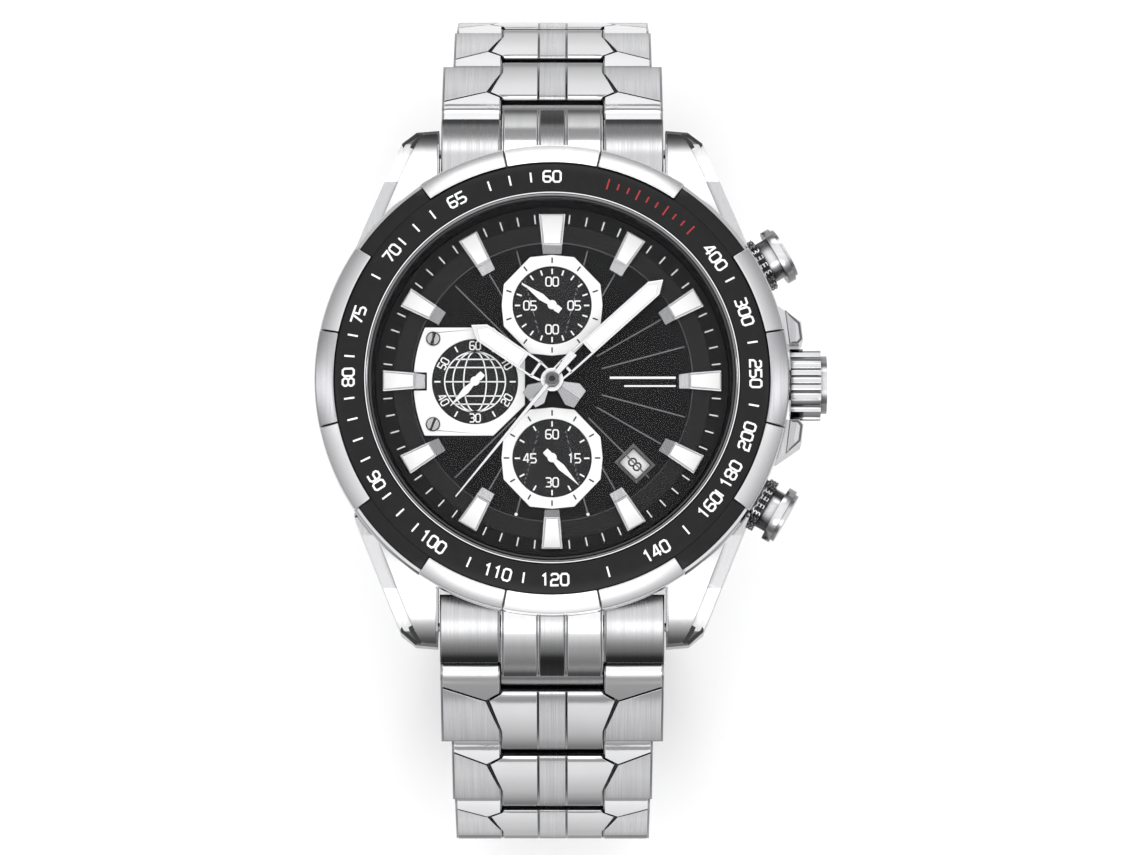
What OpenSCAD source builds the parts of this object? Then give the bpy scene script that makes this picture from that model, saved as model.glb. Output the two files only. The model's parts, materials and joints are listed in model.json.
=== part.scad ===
/* [Case] */
// Outer radius of the bezel
bezel_r = 23; // [22.9:0.05:23.05]
// Outer radius of the middle case
case_r = 21.9; // [21.8:0.05:22]
// Radius of the bore through the middle case
bore_r = 17.9; // [17.85:0.05:17.95]
// Half of the free space between two lugs
lug_in = 11.1; // [11.05:0.05:11.2]
// Radius of the crystal
crystal_r = 17.55; // [17.5:0.05:17.55]

/* [Controls] */
// Radius of the crown over its ribs
crown_r = 3.5; // [3.3:0.05:3.5]
// Number of flutes round the crown
crown_flutes = 15; // [12:1:16]
// Angle of each pusher from the crown
pusher_angle = 30; // [29:0.5:31]
// Radius of a pusher's head
pusher_r = 2.82; // [2.6:0.02:2.9]

/* [Dial] */
// Distance of the upper and lower counters from the dial's centre
counter_y = 7.5; // [7.4:0.05:7.5]
// Distance of the small seconds from the dial's centre
seconds_x = 7.48; // [7.4:0.02:7.5]
// Angle of the hour hand, clockwise from 12
hour_angle = 304.5; // [0:0.5:360]
// Angle of the minute hand, clockwise from 12
minute_angle = 47.8; // [0:0.1:360]
// Angle of the chronograph seconds hand, clockwise from 12
chrono_angle = 219; // [0:1:360]

/* [Bracelet] */
// Distance between neighbouring hinge pins
pitch = 9.2; // [9.15:0.05:9.25]
// Half of a link's thickness
half_t = 1.6; // [1.55:0.05:1.6]
// Half width of the rows' middle pieces at the knuckle
mid_half = 5; // [4.95:0.05:5]

/* [Hidden] */
$fn = 72;

// Heights in the head, measured down from the bezel's inner lip
dial_z = -3.4;
bezel_low = -3.2;
case_low = -10.2;
back_low = -11.8;
back_r = 19.6;
marker_out = 16.5;
marker_in = 12.3;
marker_short = 12.52;
pusher_z = -5.8;
crown_z = -5.6;

// Bracelet: slope of each row below the horizontal, and its half width
row_dirs = [52, 58, 74, 104, 132, 159];
row_half = [10.9, 9.9, 9.7, 9.7, 9.7, 9.7];
first_y = 27.2;
first_z = -11.2;
knuckle_gap = 0.1;
pin_r = 0.5;

// A middle piece's outline: front corner, widest place and waist, measured from the hinge
front_s = 1.45;
wing_s = 2.5;
wing_half = 6.3;
waist_s = 7;

// End links: the curve of the top, where the side and middle bars end, and the spring bar
end_y = 21.6;
end_z = -5.8;
end_bend = 0.1;
end_steps = 12;
side_end = 26.9;
middle_end = 28.2;
bar_y = 23.4;
bar_z = -8.8;
function hinge_y(n) = n == 0 ? first_y : hinge_y(n - 1) + pitch * cos(row_dirs[n - 1]);
function hinge_z(n) = n == 0 ? first_z : hinge_z(n - 1) - pitch * sin(row_dirs[n - 1]);

// Clasp: the outer face lies at z = 0, and the head is lifted to suit
clasp_y = hinge_y(6);
clasp_pin_z = 2.85;
head_z = clasp_pin_z - hinge_z(6);
clasp_half = 9.6;
blade_half = 4.3;
fold_y = -16;
fold_z = 2.15;
cover_pin_y = 17;
cover_pin_z = 1.95;
small_pin_r = 0.4;
small_knuckle = 0.9;
button_y = -12;
button_z = 1.85;

// A slab across the bracelet, from x0 to x1, of an outline drawn in Y and Z
module slab(x0, x1) {
  translate([x0, 0, 0])
    rotate([90, 0, 90])
      linear_extrude(x1 - x0)
        children();
}

module both_sides() {
  children();
  mirror([1, 0, 0]) children();
}

module head() {
  translate([0, 0, head_z]) children();
}

// A ring or disc between two radii and two heights
module ring(r_in, r_out, z0, z1) {
  translate([0, 0, z0])
    difference() {
      cylinder(r = r_out, h = z1 - z0);
      translate([0, 0, -1]) cylinder(r = r_in, h = z1 - z0 + 2);
    }
}

module disc(r, z0, z1) {
  translate([0, 0, z0]) cylinder(r = r, h = z1 - z0);
}

// A cylinder along +X, used for stems and bores
module rod_x(r, x0, x1) {
  translate([x0, 0, 0]) rotate([0, 90, 0]) cylinder(r = r, h = x1 - x0);
}

// Turn to an angle measured clockwise from 12
module clock(angle) {
  rotate([0, 0, -angle]) children();
}

module at_pusher(side) {
  rotate([0, 0, side * pusher_angle]) translate([0, 0, pusher_z]) children();
}

// ---------------------------------------------------------------- case

module lug() {
  intersection() {
    translate([0, 0, -14])
      linear_extrude(12)
        polygon([[lug_in, 14], [18.4, 11.2], [19.2, 13.0], [14.7, 24.1], [13.3, 25.3],
                 [lug_in, 25.5]]);
    slab(10, 20)
      polygon([[9, -3.3], [15, -3.5], [20, -4.9], [24, -6.5], [25.5, -7.4],
               [25.6, -9.6], [23.6, -11.2], [18, -10.6], [9, case_low]]);
  }
}

module crown_guard() {
  translate([0, 0, -8.6])
    linear_extrude(5.2)
      polygon([[20, 7.9], [21.9, 7.5], [24.2, 5.9], [24.4, 4.2], [24.0, 3.7], [20, 3.7]]);
}

module mid_case() {
  color("silver") head()
    difference() {
      union() {
        rotate_extrude($fn = 120)
          polygon([[bore_r, bezel_low], [case_r, bezel_low], [case_r, -8.6],
                   [case_r - 1.2, case_low], [bore_r, case_low]]);
        difference() {
          for (end = [0, 1])
            mirror([0, end, 0]) both_sides() lug();
          disc(bore_r + 1, -20, 0);
        }
        difference() {
          crown_guard();
          disc(bore_r + 1, -20, 0);
        }
        mirror([0, 1, 0]) crown_guard();
      }
      disc(bore_r, -20, 0);
      disc(back_r + 0.05, -20, case_low);
      translate([0, 0, crown_z]) rod_x(1.52, 10, 30);
      for (side = [-1, 1])
        at_pusher(side) {
          rod_x(2.47, 19.1, 30);
          rod_x(2.7, bezel_r, 30);
          rod_x(0.9, 10, 20);
        }
      for (end = [-1, 1])
        translate([0, end * bar_y, bar_z]) rod_x(0.5, -12.4, 12.4);
    }
}

module case_back() {
  color("silver") head()
    difference() {
      rotate_extrude($fn = 120)
        polygon([[0, case_low], [back_r, case_low], [back_r, -11.0], [back_r - 0.8, back_low],
                 [0, back_low]]);
      ring(18.0, 18.8, -10.75, 0);
      for (k = [0:5])
        rotate([0, 0, 60 * k]) translate([16.6, 0, back_low - 1]) cylinder(r = 0.9, h = 1.5);
    }
}

module case_back_gasket() {
  color("dimgray") head() ring(18.04, 18.76, -10.75, case_low);
}

// Profile of the bezel's claws, in radius and height
module claw(angle) {
  rotate([0, 0, angle - 34])
    rotate_extrude(angle = 68, $fn = 120)
      polygon([[21.1, -1.6], [21.1, -0.5], [21.35, -0.4], [22.55, -0.95], [22.98, -1.45],
               [22.98, -1.9], [22.4, -1.9]]);
}

module bezel() {
  color("silver") head()
    difference() {
      union() {
        rotate_extrude($fn = 120)
          polygon([[crystal_r + 0.15, bezel_low], [crystal_r + 0.15, -0.05], [17.85, 0],
                   [18.16, -0.02], [18.16, -1.6], [22.52, -1.6], [22.52, -1.2],
                   [22.8, -1.35], [bezel_r, -1.8], [bezel_r, -2.9], [22.7, bezel_low]]);
        for (quarter = [0:3])
          claw(90 * quarter);
      }
      for (quarter = [0:3], split = [-12, 12])
        rotate([0, 0, 90 * quarter + split])
          translate([20, -0.06, -1.5]) cube([4, 0.12, 3]);
    }
}

module bezel_insert() {
  color([0.06, 0.06, 0.07]) head() {
    rotate_extrude($fn = 120)
      polygon([[18.2, -1.58], [18.2, -0.12], [18.4, -0.08], [21.06, -0.62], [21.06, -1.58]]);
    for (quarter = [0:3])
      rotate([0, 0, 90 * quarter + 34.2])
        rotate_extrude(angle = 21.6, $fn = 120)
          polygon([[21.06, -1.58], [21.06, -0.62], [22.45, -0.98], [22.48, -1.58]]);
  }
}

module crystal() {
  color([0.8, 0.9, 0.95, 0.25]) head()
    rotate_extrude($fn = 120)
      polygon([[0, -0.95], [crystal_r - 0.02, -0.95], [crystal_r - 0.02, 0],
               [crystal_r - 0.3, 0.18], [0, 0.2]]);
}

module crystal_gasket() {
  color("white") head() ring(crystal_r, crystal_r + 0.14, -0.95, -0.2);
}

module rehaut() {
  color([0.05, 0.05, 0.05]) head()
    rotate_extrude($fn = 120)
      polygon([[17.1, dial_z], [17.52, -1.0], [17.68, -1.0], [17.68, dial_z]]);
}

// ---------------------------------------------------------------- dial

module date_window(half_long, half_wide, z0, z1) {
  clock(135)
    translate([-half_wide, 11.35 - half_long, z0])
      cube([2 * half_wide, 2 * half_long, z1 - z0]);
}

module dial_holes(centre_r, small_r) {
  cylinder(r = centre_r, h = 60, center = true);
  for (side = [-1, 1])
    translate([0, side * counter_y, 0]) cylinder(r = small_r, h = 60, center = true);
  translate([-seconds_x, 0, 0]) cylinder(r = small_r, h = 60, center = true);
}

module dial() {
  color([0.1, 0.1, 0.11]) head()
    difference() {
      disc(17.6, dial_z - 0.4, dial_z);
      dial_holes(0.95, 0.32);
      date_window(1.16, 0.97, -10, 0);
    }
}

module marker(outer_w, inner_w, inner_end) {
  translate([0, 0, dial_z])
    linear_extrude(0.8)
      polygon([[-outer_w / 2, marker_out], [outer_w / 2, marker_out], [inner_w / 2, inner_end],
               [-inner_w / 2, inner_end]]);
}

// The markers at 12 and 6 stop short of the counter rings
module hour_markers() {
  color("white") head() {
    marker(2.63, 1.83, marker_short);
    for (hour = [1:11])
      clock(30 * hour) marker(2.1, 1.5, hour == 6 ? marker_short : marker_in);
  }
}

module octagon_plate() {
  translate([0, 0, dial_z])
    linear_extrude(0.25)
      difference() {
        polygon([[2.16, 4.73], [4.69, 2.08], [4.9, 0], [4.69, -2.08], [2.16, -4.73], [0, -4.95],
                 [-2.16, -4.73], [-4.69, -2.08], [-4.9, 0], [-4.69, 2.08], [-2.16, 4.73],
                 [0, 4.95]]);
        circle(r = 3.85);
      }
}

module upper_counter_ring() {
  color("white") head() translate([0, counter_y, 0]) octagon_plate();
}

module lower_counter_ring() {
  color("white") head() translate([0, -counter_y, 0]) octagon_plate();
}

module small_seconds_plate() {
  color("white") head()
    difference() {
      intersection() {
        translate([-seconds_x, 0, dial_z])
          linear_extrude(0.25)
            polygon([[-7, -5.3], [1.79, -5.3], [4.84, -2.28], [4.84, 2.28], [1.79, 5.3], [-7, 5.3]]);
        disc(13.45, dial_z - 1, 0);
      }
      translate([-seconds_x, 0, 0]) disc(4.19, -10, 0);
      translate([-16.6, -0.9, -10]) cube([4.45, 1.8, 12]);
      for (side = [-1, 1])
        translate([-seconds_x - 4.07, side * 4.2, 0]) disc(0.68, -10, 0);
    }
}

module plate_screws() {
  color("silver") head()
    for (side = [-1, 1])
      translate([-seconds_x - 4.07, side * 4.2, 0])
        difference() {
          disc(0.665, dial_z, dial_z + 0.38);
          rotate([0, 0, side > 0 ? 90 : 65])
            translate([-1, -0.09, dial_z + 0.22]) cube([2, 0.18, 1]);
        }
}

module date_window_frame() {
  color("silver") head()
    difference() {
      date_window(1.42, 1.22, dial_z, dial_z + 0.12);
      date_window(1.16, 0.97, -10, 0);
    }
}

// ---------------------------------------------------------------- movement

module movement_plate() {
  color("goldenrod") head()
    difference() {
      disc(16.9, -5.0, -4.4);
      dial_holes(0.95, 0.32);
    }
}

module movement_holder() {
  color("whitesmoke") head()
    difference() {
      ring(16.95, bore_r - 0.05, -9.9, dial_z - 0.42);
      translate([0, 0, crown_z]) rod_x(1.52, 10, 30);
      for (side = [-1, 1])
        at_pusher(side) rod_x(1.0, 10, 30);
    }
}

module battery() {
  color("lightgray") head() translate([-8, -6, 0]) disc(4.75, -8.4, -5.8);
}

module movement_bridge() {
  color("goldenrod") head()
    difference() {
      union() {
        disc(16.5, -9.3, -8.7);
        for (angle = [75, 165, 255])
          rotate([0, 0, angle]) translate([14.8, 0, 0]) disc(1.0, -8.8, -5.02);
      }
      translate([-8, -6, 0]) disc(4.9, -12, 0);
    }
}

module coil() {
  color("peru") head()
    translate([4, -9.5, -6.9]) {
      rod_x(1.6, 0, 8);
      rod_x(0.7, -1.5, 9.5);
    }
}

module date_wheel() {
  color("white") head() ring(9.9, 12.95, -4.2, -3.92);
}

// ---------------------------------------------------------------- hands

// A baton hand: point at the front, window near the hub, flared tail
module baton(length, half_w, window_from, window_to, tail, tail_half, z0, z1) {
  translate([0, 0, z0])
    linear_extrude(z1 - z0)
      difference() {
        polygon([[0, length], [-half_w, length - 1.3], [-half_w, window_from - 0.4],
                 [-0.75, 0.8], [-0.55, -0.9], [-tail_half, -tail], [tail_half, -tail],
                 [0.55, -0.9], [0.75, 0.8], [half_w, window_from - 0.4],
                 [half_w, length - 1.3]]);
        translate([0, (window_from + window_to) / 2])
          square([1.1, window_to - window_from], center = true);
        circle(r = 0.3);
      }
}

module hour_hand() {
  color("silver") head() clock(hour_angle)
    difference() {
      union() {
        baton(9.55, 0.95, 2.0, 3.3, 3.3, 1.25, dial_z + 1.0, dial_z + 1.25);
        disc(1.15, dial_z + 1.0, dial_z + 1.25);
        disc(0.85, -4.95, dial_z + 1.1);
      }
      disc(0.62, -10, 0);
    }
}

module minute_hand() {
  color("silver") head() clock(minute_angle)
    difference() {
      union() {
        baton(14.6, 0.85, 2.0, 4.6, 3.0, 1.2, dial_z + 1.45, dial_z + 1.7);
        disc(1.1, dial_z + 1.45, dial_z + 1.7);
        disc(0.58, -4.95, dial_z + 1.5);
      }
      disc(0.34, -10, 0);
    }
}

module chrono_seconds_hand() {
  color("silver") head() clock(chrono_angle) {
    translate([0, 0, dial_z + 1.9])
      linear_extrude(0.15)
        polygon([[0.08, 14.8], [-0.08, 14.8], [-0.2, 0], [-0.45, -3.3], [0.45, -3.3], [0.2, 0]]);
    disc(0.75, dial_z + 1.9, dial_z + 2.2);
    disc(0.28, -4.95, dial_z + 1.95);
  }
}

module small_hand(length, tail) {
  translate([0, 0, dial_z + 0.4])
    linear_extrude(0.15)
      polygon([[0, length], [-0.32, 1.1], [-0.16, 0], [-0.32, -tail], [0.32, -tail], [0.16, 0],
               [0.32, 1.1]]);
  disc(0.45, dial_z + 0.4, dial_z + 0.65);
  disc(0.25, -4.95, dial_z + 0.5);
}

module small_seconds_hand() {
  color("white") head() translate([-seconds_x, 0, 0]) clock(224.6) small_hand(3.42, 1.07);
}

module upper_counter_hand() {
  color("white") head() translate([0, counter_y, 0]) clock(306.3) small_hand(3.68, 1.0);
}

module lower_counter_hand() {
  color("white") head() translate([0, -counter_y, 0]) clock(135.9) small_hand(3.68, 0.96);
}

// ---------------------------------------------------------------- controls

module crown_tube() {
  color("silver") head() translate([0, 0, crown_z])
    difference() {
      rod_x(1.5, 18.0, 24.4);
      rod_x(0.56, 10, 30);
    }
}

module crown() {
  color("silver") head() translate([0, 0, crown_z])
    difference() {
      union() {
        rod_x(crown_r, 23.15, 26.1);
        rod_x(2.82, 26.0, 26.7);
      }
      rod_x(1.6, 23, 24.6);
      rod_x(0.5, 24, 25.2);
      for (flute = [0:crown_flutes - 1])
        rotate([360 / crown_flutes * flute, 0, 0])
          translate([0, 0, crown_r + 0.22]) rod_x(0.55, 23, 26.11);
    }
}

module winding_stem() {
  color("gray") head() translate([0, 0, crown_z])
    difference() {
      rod_x(0.5, 13.0, 25.2);
      difference() {
        rod_x(0.8, 13.8, 14.5);
        rod_x(0.36, 13, 15);
      }
    }
}

module setting_lever() {
  color("gray") head() translate([0, 0, crown_z])
    difference() {
      translate([13.9, -1.6, -1.7]) cube([0.5, 3.2, 2.1]);
      rod_x(0.42, 13, 15);
    }
}

module collar() {
  difference() {
    union() {
      rod_x(2.6, bezel_r + 0.06, 23.95);
      rod_x(2.45, 19.2, 23.1);
    }
    rod_x(2.15, 20.6, 30);
    rod_x(0.85, 15, 30);
    for (flute = [0:19])
      rotate([18 * flute, 0, 0])
        translate([0, 0, 2.75]) rod_x(0.28, 23.3, 24.1);
  }
}

module pusher_collars() {
  color("silver") head()
    for (side = [-1, 1])
      at_pusher(side) collar();
}

module pusher(side) {
  head() at_pusher(side) {
    rod_x(0.75, 17.4, 23.3);
    rod_x(2.1, 23.2, 25.2);
    rod_x(pusher_r, 25.1, 25.9);
    rod_x(pusher_r - 0.3, 25.85, 26.25);
  }
}

module upper_pusher() {
  color("silver") pusher(1);
}

module lower_pusher() {
  color("silver") pusher(-1);
}

// Five turns of a coil spring, drawn as closed rings on the pusher's stem
module pusher_spring(side) {
  head() at_pusher(side)
    for (turn = [0:4])
      translate([20.85 + 0.52 * turn, 0, 0])
        rotate([0, 90, 0])
          rotate_extrude()
            translate([1.4, 0]) circle(r = 0.2, $fn = 24);
}

module upper_pusher_spring() {
  color("gray") pusher_spring(1);
}

module lower_pusher_spring() {
  color("gray") pusher_spring(-1);
}

// ---------------------------------------------------------------- bracelet

// The end link's top curves down from the case to the first hinge
function end_top(y) = end_z - end_bend * pow(y - end_y, 2);
function end_curve(y0, y1) = [for (k = [0:end_steps])
  let (y = y0 + (y1 - y0) * k / end_steps) [y, end_top(y)]];

module end_link() {
  head()
    difference() {
      union() {
        slab(-10.9, 10.9)
          polygon(concat(end_curve(20.5, side_end), [[side_end, -9.8], [26.1, -12.4], [24, -11.8],
                                                 [20.5, -10.0]]));
        slab(-4.95, 4.95)
          polygon(concat(end_curve(24, middle_end), [[middle_end, -11.2], [27.2, -12.8], [24, -11.9]]));
        translate([0, first_y, first_z]) rod_x(half_t, -4.95, 4.95);
      }
      disc(case_r + 0.04, -20, 0);
      translate([0, first_y, first_z]) {
        rod_x(half_t + knuckle_gap, mid_half + 0.05, 12);
        rod_x(half_t + knuckle_gap, -12, -mid_half - 0.05);
        rod_x(pin_r + 0.05, -12, 12);
      }
      both_sides() {
        translate([mid_half - 0.03, 22.5, -20]) cube([0.1, 10, 20]);
        slab(mid_half, 12) polygon([[side_end - 0.1, -20], [side_end - 0.1, 0], [40, 0], [40, -20]]);
      }
      disc(bezel_r + 0.05, bezel_low, 0);
      translate([0, bar_y, bar_z]) rod_x(0.8, -12, 12);
    }
}

module end_link_12() {
  color("silver") end_link();
}

module end_link_6() {
  color("silver") mirror([0, 1, 0]) end_link();
}

module spring_bars() {
  color("gray") head()
    for (end = [-1, 1])
      translate([0, end * bar_y, bar_z]) {
        rod_x(0.75, -10.8, 10.8);
        rod_x(0.45, -12.2, 12.2);
      }
}

// Half of a row's middle piece, seen from outside
module middle_outline() {
  polygon([[0, 0.1], [mid_half - 0.2, 0.1], [mid_half - 0.12, front_s], [wing_half, wing_s],
           [mid_half, waist_s], [mid_half, pitch + 2], [0, pitch + 2]]);
}

// A row's side piece, seen from outside
module side_outline(half_w) {
  inner = mid_half + 0.08;
  polygon([[inner, -2], [inner, front_s], [wing_half + 0.1, wing_s], [inner, waist_s + 0.05],
           [inner, pitch], [half_w, pitch], [half_w, -2]]);
}

module row_middle() {
  difference() {
    intersection() {
      both_sides() translate([0, 0, -3]) linear_extrude(6) middle_outline();
      slab(-8, 8) union() {
        translate([pitch, 0]) circle(r = half_t);
        polygon([[1.75, -half_t], [1.72, 1.1], [1.5, half_t], [pitch, half_t], [pitch, -half_t]]);
      }
    }
    rod_x(half_t + knuckle_gap, -12, 12);
    translate([0, pitch, 0]) rod_x(pin_r + 0.05, -12, 12);
  }
}

module row_side(half_w) {
  difference() {
    intersection() {
      translate([0, 0, -3]) linear_extrude(6) side_outline(half_w);
      slab(0, 12) union() {
        circle(r = half_t);
        polygon([[0, -half_t], [0, half_t], [pitch - 0.5, half_t], [pitch - 1.7, 0],
                 [pitch - 1.75, -half_t]]);
      }
    }
    translate([0, pitch, 0]) rod_x(half_t + knuckle_gap, -12, 12);
  }
}

// One row: two side pieces and a middle piece on a cross pin, with its hinge pin
module row(n) {
  half_w = row_half[n - 1];
  union() {
    row_middle();
    both_sides() row_side(half_w);
    rod_x(pin_r, -half_w + 0.4, half_w - 0.4);
    translate([0, pitch / 2, 0]) rod_x(pin_r, -half_w + 0.4, half_w - 0.4);
  }
}

module row_at(n) {
  translate([0, hinge_y(n - 1), head_z + hinge_z(n - 1)])
    rotate([-row_dirs[n - 1], 0, 0])
      row(n);
}

module upper_row(n) {
  color("silver") row_at(n);
}

module lower_row(n) {
  color("silver") mirror([0, 1, 0]) row_at(n);
}

// ---------------------------------------------------------------- clasp

// Inner blade: hinged on the last upper row, with the middle blade's fork at its far end
module clasp_inner_blade() {
  color("silver")
    difference() {
      union() {
        slab(-blade_half, blade_half)
          polygon([[fold_y, 3.0], [21, 3.0], [21, 3.7], [fold_y, 3.7]]);
        slab(-9.4, 9.4)
          polygon([[19.6, 3.0], [clasp_y - 1.75, 3.0], [clasp_y - 1.75, 3.7], [19.6, 3.7]]);
        both_sides() {
          slab(mid_half + 0.1, 9.4) {
            translate([clasp_y, clasp_pin_z]) circle(r = half_t - 0.1);
            polygon([[clasp_y - 2.2, 3.0], [clasp_y, 3.0], [clasp_y, 3.7], [clasp_y - 2.2, 3.7]]);
          }
          slab(3.1, blade_half) {
            translate([fold_y, fold_z]) circle(r = small_knuckle);
            polygon([[fold_y - small_knuckle, fold_z], [fold_y - small_knuckle, 3.7],
                     [fold_y + small_knuckle, 3.7], [fold_y + small_knuckle, fold_z]]);
          }
        }
        translate([0, fold_y, fold_z]) rod_x(small_pin_r, -4, 4);
        translate([0, clasp_y, clasp_pin_z]) rod_x(pin_r, -8, 8);
      }
      for (hole = [0:3])
        translate([0, -8 + 8 * hole, 0]) cylinder(r = 1.4, h = 10);
    }
}

// Middle blade: a strip with a knuckle at each end
module clasp_middle_blade() {
  color("silver")
    difference() {
      slab(-3, 3) {
        translate([fold_y, fold_z]) circle(r = small_knuckle - 0.05);
        translate([cover_pin_y, cover_pin_z]) circle(r = small_knuckle - 0.05);
        polygon([[fold_y, 1.6], [cover_pin_y, 1.5], [cover_pin_y, 2.2], [fold_y, 2.4]]);
      }
      translate([0, fold_y, fold_z]) rod_x(small_pin_r + 0.04, -8, 8);
      translate([0, cover_pin_y, cover_pin_z]) rod_x(small_pin_r + 0.04, -8, 8);
    }
}

// Cover: outer plate, side walls, the middle blade's fork and the ears for the last lower row
module clasp_cover() {
  color("silver")
    difference() {
      union() {
        slab(-clasp_half, clasp_half)
          polygon([[-21.4, 0.25], [-21.1, 0], [21.0, 0], [21.3, 0.3], [21.3, 0.85], [-21.4, 0.85]]);
        both_sides() {
          slab(8.5, clasp_half)
            polygon([[-20.5, 0.8], [18.6, 0.8], [18.6, 2.5], [-20.5, 2.7]]);
          slab(3.1, blade_half) {
            translate([cover_pin_y, cover_pin_z]) circle(r = small_knuckle);
            polygon([[cover_pin_y - small_knuckle, 0.8], [cover_pin_y + small_knuckle, 0.8],
                     [cover_pin_y + small_knuckle, cover_pin_z],
                     [cover_pin_y - small_knuckle, cover_pin_z]]);
          }
          slab(mid_half + 0.1, clasp_half) {
            translate([-clasp_y, clasp_pin_z]) circle(r = half_t);
            polygon([[-clasp_y, clasp_pin_z - half_t], [-clasp_y + 2, 0.2], [-19.5, 0.2],
                     [-19.5, 2.7], [-clasp_y, clasp_pin_z + half_t]]);
          }
        }
        translate([0, cover_pin_y, cover_pin_z]) rod_x(small_pin_r, -4, 4);
      }
      for (side = [-1, 1])
        translate([0, button_y, button_z]) rod_x(0.92, side > 0 ? 5 : -15, side > 0 ? 15 : -5);
      translate([0, -clasp_y, clasp_pin_z]) rod_x(pin_r + 0.1, -6.6, 6.6);
    }
}

module clasp_button() {
  translate([0, button_y, button_z]) {
    rod_x(0.86, 7.6, 10.2);
    rod_x(0.6, 6.6, 7.7);
  }
}

module clasp_button_right() {
  color("silver") clasp_button();
}

module clasp_button_left() {
  color("silver") mirror([1, 0, 0]) clasp_button();
}

mid_case();
case_back();
case_back_gasket();
bezel();
bezel_insert();
crystal();
crystal_gasket();
rehaut();
dial();
hour_markers();
upper_counter_ring();
lower_counter_ring();
small_seconds_plate();
plate_screws();
date_window_frame();
movement_plate();
movement_holder();
battery();
movement_bridge();
coil();
crown_tube();
pusher_collars();
end_link_12();
end_link_6();
spring_bars();
hour_hand();
minute_hand();
chrono_seconds_hand();
small_seconds_hand();
upper_counter_hand();
lower_counter_hand();
date_wheel();
setting_lever();
crown();
winding_stem();
upper_pusher();
upper_pusher_spring();
lower_pusher();
lower_pusher_spring();
upper_row(1);  // link_12_1
upper_row(2);  // link_12_2
upper_row(3);  // link_12_3
upper_row(4);  // link_12_4
upper_row(5);  // link_12_5
upper_row(6);  // link_12_6
lower_row(1);  // link_6_1
lower_row(2);  // link_6_2
lower_row(3);  // link_6_3
lower_row(4);  // link_6_4
lower_row(5);  // link_6_5
lower_row(6);  // link_6_6
clasp_inner_blade();
clasp_middle_blade();
clasp_cover();
clasp_button_left();
clasp_button_right();
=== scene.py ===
import json
import math

import bmesh
import bpy
from mathutils import Matrix, Vector


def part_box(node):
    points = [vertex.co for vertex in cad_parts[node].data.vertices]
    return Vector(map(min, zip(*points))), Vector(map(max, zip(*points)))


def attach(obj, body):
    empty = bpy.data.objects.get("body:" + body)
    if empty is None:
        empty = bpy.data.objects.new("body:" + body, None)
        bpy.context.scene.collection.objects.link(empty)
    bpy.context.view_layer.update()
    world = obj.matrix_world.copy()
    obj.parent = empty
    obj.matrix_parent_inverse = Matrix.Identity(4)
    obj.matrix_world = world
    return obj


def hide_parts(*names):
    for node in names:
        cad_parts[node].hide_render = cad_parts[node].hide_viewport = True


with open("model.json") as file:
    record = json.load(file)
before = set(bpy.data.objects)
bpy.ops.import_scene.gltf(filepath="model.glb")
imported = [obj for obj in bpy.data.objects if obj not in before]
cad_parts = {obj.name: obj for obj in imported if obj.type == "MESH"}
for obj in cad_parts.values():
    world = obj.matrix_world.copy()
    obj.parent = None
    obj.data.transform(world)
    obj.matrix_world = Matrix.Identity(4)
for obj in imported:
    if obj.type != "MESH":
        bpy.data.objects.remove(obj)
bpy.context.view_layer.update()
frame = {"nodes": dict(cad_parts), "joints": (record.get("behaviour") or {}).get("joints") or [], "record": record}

nodes = frame["nodes"]

# ------------------------------------------------------------------ sizes, in millimetres
MM = 0.001
HEAD_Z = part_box("bezel")[1].z / MM       # the bezel's inner lip
DIAL_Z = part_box("dial")[1].z / MM - HEAD_Z
BEZEL_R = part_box("bezel")[1].x / MM
COUNTER_Y = (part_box("upper_counter_ring")[0].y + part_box("upper_counter_ring")[1].y) / 2 / MM
SECONDS_X = 7.48
RING_TOP = DIAL_Z + 0.25
HOUR_ANGLE = 304.5
MINUTE_ANGLE = 47.8
CHRONO_ANGLE = 219
BAND_IN, BAND_OUT = 13.75, 15.4          # the dial's ridged band
MARKER_FROM, MARKER_TO = 13.3, 16.5      # the high part of an hour marker
DATE_ANGLE, DATE_R = 135, 11.35
STEM_LOW = -4.95                         # where the hands' pipes and pins end


# ------------------------------------------------------------------ materials
MIX_A, MIX_B, MIX_RESULT = 6, 7, 2       # the colour sockets of a Mix node
# Tones of painted shade and painted reflection: by the height of the surface's normal (tilt), and by a share of
# the reach (fade)
STEEL_TILT = [(-1.0, 0.42), (0.0, 0.34), (0.3, 0.3), (0.37, 0.1), (0.43, 0.1), (0.52, 0.45),
              (0.66, 0.78), (0.82, 1.0), (1.0, 1.0)]
BRUSHED_TILT = [(-1.0, 0.5), (0.0, 0.4), (0.3, 0.42), (0.5, 0.6), (0.7, 0.9), (0.85, 1.0),
                (1.0, 1.0)]
LUG_FADE = [(0.0, 0.6), (0.62, 0.65), (0.72, 1.0), (0.84, 0.9), (0.91, 0.5), (0.965, 0.12),
            (1.0, 0.04)]
CASE_FADE = [(0.0, 1.0), (0.86, 1.0), (0.94, 0.55), (1.0, 0.25)]
# Painted shade in creases, by the ambient occlusion
CREASE_TONES = [(0.0, 0.02), (0.45, 0.1), (0.75, 0.85), (1.0, 1.0)]
LUG_REACH = 0.0256                       # reaches are in metres from the middle of the watch
END_FADE = [(0.0, 1.0), (0.84, 1.0), (0.92, 0.85), (0.965, 0.45), (0.985, 0.08), (1.0, 0.05)]
END_REACH, MIDDLE_REACH = 0.0268, 0.0282
CROWN_TILT = [(-1.0, 0.3), (0.0, 0.2), (0.5, 0.28), (0.78, 0.42), (0.93, 0.9), (1.0, 1.0)]
ROW_FADE = [(0.0, 1.0), (0.3, 1.0), (0.6, 0.82), (0.82, 0.55), (0.93, 0.3), (1.0, 0.12)]
SIDE_FADE = [(0.0, 1.0), (0.45, 1.0), (0.8, 0.75), (0.95, 0.5), (1.0, 0.2)]


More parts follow.
